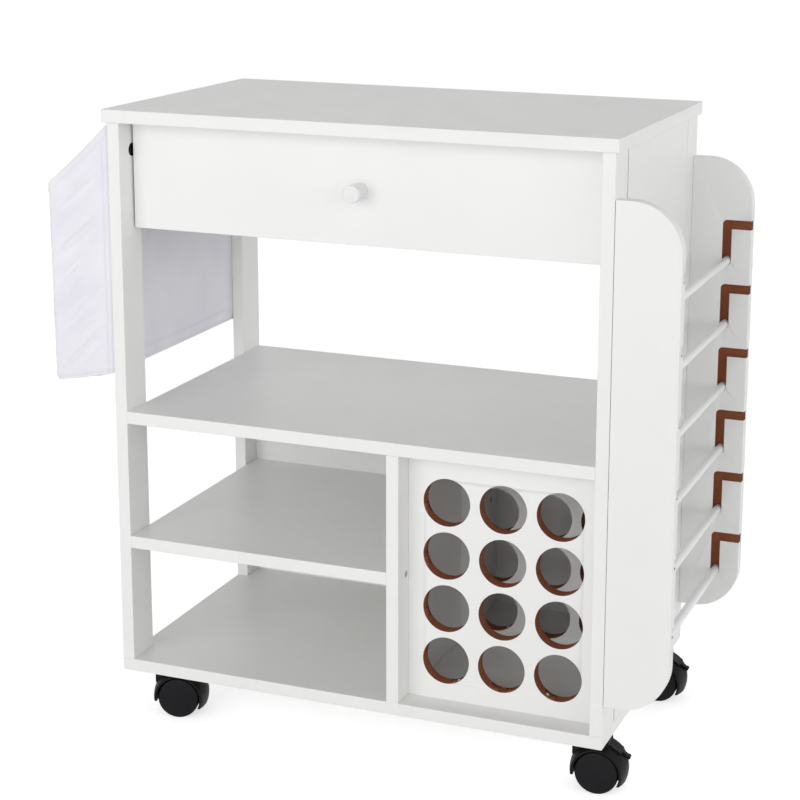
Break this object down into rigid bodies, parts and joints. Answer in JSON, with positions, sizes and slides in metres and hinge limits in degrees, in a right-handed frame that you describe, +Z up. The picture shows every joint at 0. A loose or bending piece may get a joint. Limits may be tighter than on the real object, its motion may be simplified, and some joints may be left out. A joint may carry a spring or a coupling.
{
  "type": "rolling craft cart",
  "caption": "Free-standing white board craft cart on swivel casters, with a drawer, open shelves, a bay of round roll holes, a rod rack on one side and a cloth bag on the other.",
  "frame": {"origin": "on the floor, under the middle of the whole cart's box, bag and rack included", "axes": "+Z up, front with the drawer towards -Y, rack towards +X and bag towards -X"},
  "size_m": [0.748, 0.355, 0.743],
  "materials": {
    "white_board": "white melamine-faced fibreboard, satin",
    "white_cloth": "white woven polyester cloth, matt",
    "white_paint": "smooth white gloss paint",
    "bright_steel": "zinc-plated steel",
    "dark_metal": "dark passivated zinc casting",
    "black_shell": "black moulded plastic, satin",
    "black_wheel": "black moulded plastic, slightly glossy"
  },
  "bodies": {
    "cart_body": {"front_left_post": "white_board", "rear_left_post": "white_board", "front_right_post": "white_board", "rear_right_post": "white_board", "right_infill_panel": "white_board", "left_upper_rail": "white_board", "upper_back_rail": "white_board", "bottom_panel": "white_board", "middle_shelf": "white_board", "small_shelf": "white_board", "divider": "white_board", "lower_back_panel": "white_board", "top_panel": "white_board", "cam_bolts": "bright_steel", "cam_locks": "dark_metal", "panel_screws": "bright_steel", "front_hole_panel": "white_board", "rear_hole_panel": "white_board", "front_rack_wing": "white_board", "rear_rack_wing": "white_board", "left_fixed_rail": "bright_steel", "runner_screws": "bright_steel", "right_fixed_rail": "bright_steel", "craft_bag": "white_cloth", "bag_screws": "bright_steel", "caster_screws": "bright_steel", "caster_plates": "bright_steel"},
    "drawer": {"drawer_front": "white_board", "drawer_left_side": "white_board", "drawer_right_side": "white_board", "drawer_back": "white_board", "drawer_bottom": "white_board", "drawer_knob": "white_paint", "left_slider": "bright_steel", "right_slider": "bright_steel", "drawer_screws": "bright_steel"},
    "front_left_caster": {"front_left_caster_hood": "black_shell", "front_left_caster_axle": "bright_steel"},
    "front_left_front_wheel": {"front_left_caster_front_wheel": "black_wheel"},
    "front_left_rear_wheel": {"front_left_caster_rear_wheel": "black_wheel"},
    "front_right_caster": {"front_right_caster_hood": "black_shell", "front_right_caster_axle": "bright_steel"},
    "front_right_front_wheel": {"front_right_caster_front_wheel": "black_wheel"},
    "front_right_rear_wheel": {"front_right_caster_rear_wheel": "black_wheel"},
    "front_right_lever": {"front_right_brake_lever": "black_shell"},
    "rear_left_caster": {"rear_left_caster_hood": "black_shell", "rear_left_caster_axle": "bright_steel"},
    "rear_left_front_wheel": {"rear_left_caster_front_wheel": "black_wheel"},
    "rear_left_rear_wheel": {"rear_left_caster_rear_wheel": "black_wheel"},
    "rear_right_caster": {"rear_right_caster_hood": "black_shell", "rear_right_caster_axle": "bright_steel"},
    "rear_right_front_wheel": {"rear_right_caster_front_wheel": "black_wheel"},
    "rear_right_rear_wheel": {"rear_right_caster_rear_wheel": "black_wheel"},
    "rear_right_lever": {"rear_right_brake_lever": "black_shell"},
    "rod_1": {"roll_rod_1": "white_paint"},
    "rod_2": {"roll_rod_2": "white_paint"},
    "rod_3": {"roll_rod_3": "white_paint"},
    "rod_4": {"roll_rod_4": "white_paint"},
    "rod_5": {"roll_rod_5": "white_paint"},
    "rod_6": {"roll_rod_6": "white_paint"}
  },
  "joints": [
    {"name": "drawer_slide", "type": "slide", "parent": "cart_body", "child": "drawer", "axis": [0, -1, 0], "range_m": [0, 0.2]},
    {"name": "front_left_swivel", "type": "hinge", "parent": "cart_body", "child": "front_left_caster", "pos_m": [-0.265, -0.1325, 0.055], "axis": [0, 0, 1], "continuous": true},
    {"name": "front_left_front_wheel_spin", "type": "hinge", "parent": "front_left_caster", "child": "front_left_front_wheel", "pos_m": [-0.24568, -0.12732, 0.025], "axis": [-0.2588, 0.9659, 0], "continuous": true},
    {"name": "front_left_rear_wheel_spin", "type": "hinge", "parent": "front_left_caster", "child": "front_left_rear_wheel", "pos_m": [-0.24568, -0.12732, 0.025], "axis": [-0.2588, 0.9659, 0], "continuous": true},
    {"name": "front_right_swivel", "type": "hinge", "parent": "cart_body", "child": "front_right_caster", "pos_m": [0.267, -0.1325, 0.055], "axis": [0, 0, 1], "continuous": true},
    {"name": "front_right_front_wheel_spin", "type": "hinge", "parent": "front_right_caster", "child": "front_right_front_wheel", "pos_m": [0.28695, -0.1311, 0.025], "axis": [-0.0698, 0.9976, 0], "continuous": true},
    {"name": "front_right_rear_wheel_spin", "type": "hinge", "parent": "front_right_caster", "child": "front_right_rear_wheel", "pos_m": [0.28695, -0.1311, 0.025], "axis": [-0.0698, 0.9976, 0], "continuous": true},
    {"name": "front_right_brake_press", "type": "hinge", "parent": "front_right_caster", "child": "front_right_lever", "pos_m": [0.29593, -0.13048, 0.058], "axis": [-0.0698, 0.9976, 0], "range_deg": [0, 10]},
    {"name": "rear_left_swivel", "type": "hinge", "parent": "cart_body", "child": "rear_left_caster", "pos_m": [-0.265, 0.1345, 0.055], "axis": [0, 0, 1], "continuous": true},
    {"name": "rear_left_front_wheel_spin", "type": "hinge", "parent": "rear_left_caster", "child": "rear_left_front_wheel", "pos_m": [-0.245, 0.1345, 0.025], "axis": [0, 1, 0], "continuous": true},
    {"name": "rear_left_rear_wheel_spin", "type": "hinge", "parent": "rear_left_caster", "child": "rear_left_rear_wheel", "pos_m": [-0.245, 0.1345, 0.025], "axis": [0, 1, 0], "continuous": true},
    {"name": "rear_right_swivel", "type": "hinge", "parent": "cart_body", "child": "rear_right_caster", "pos_m": [0.267, 0.1345, 0.055], "axis": [0, 0, 1], "continuous": true},
    {"name": "rear_right_front_wheel_spin", "type": "hinge", "parent": "rear_right_caster", "child": "rear_right_front_wheel", "pos_m": [0.287, 0.1345, 0.025], "axis": [0, 1, 0], "continuous": true},
    {"name": "rear_right_rear_wheel_spin", "type": "hinge", "parent": "rear_right_caster", "child": "rear_right_rear_wheel", "pos_m": [0.287, 0.1345, 0.025], "axis": [0, 1, 0], "continuous": true},
    {"name": "rear_right_brake_press", "type": "hinge", "parent": "rear_right_caster", "child": "rear_right_lever", "pos_m": [0.296, 0.1345, 0.058], "axis": [0, 1, 0], "range_deg": [0, 10]},
    {"name": "rod_1_lift", "type": "slide", "parent": "cart_body", "child": "rod_1", "axis": [0, 0, 1], "range_m": [0, 0.044]},
    {"name": "rod_2_lift", "type": "slide", "parent": "cart_body", "child": "rod_2", "axis": [0, 0, 1], "range_m": [0, 0.044]},
    {"name": "rod_3_lift", "type": "slide", "parent": "cart_body", "child": "rod_3", "axis": [0, 0, 1], "range_m": [0, 0.044]},
    {"name": "rod_4_lift", "type": "slide", "parent": "cart_body", "child": "rod_4", "axis": [0, 0, 1], "range_m": [0, 0.044]},
    {"name": "rod_5_lift", "type": "slide", "parent": "cart_body", "child": "rod_5", "axis": [0, 0, 1], "range_m": [0, 0.044]},
    {"name": "rod_6_lift", "type": "slide", "parent": "cart_body", "child": "rod_6", "axis": [0, 0, 1], "range_m": [0, 0.044]}
  ]
}
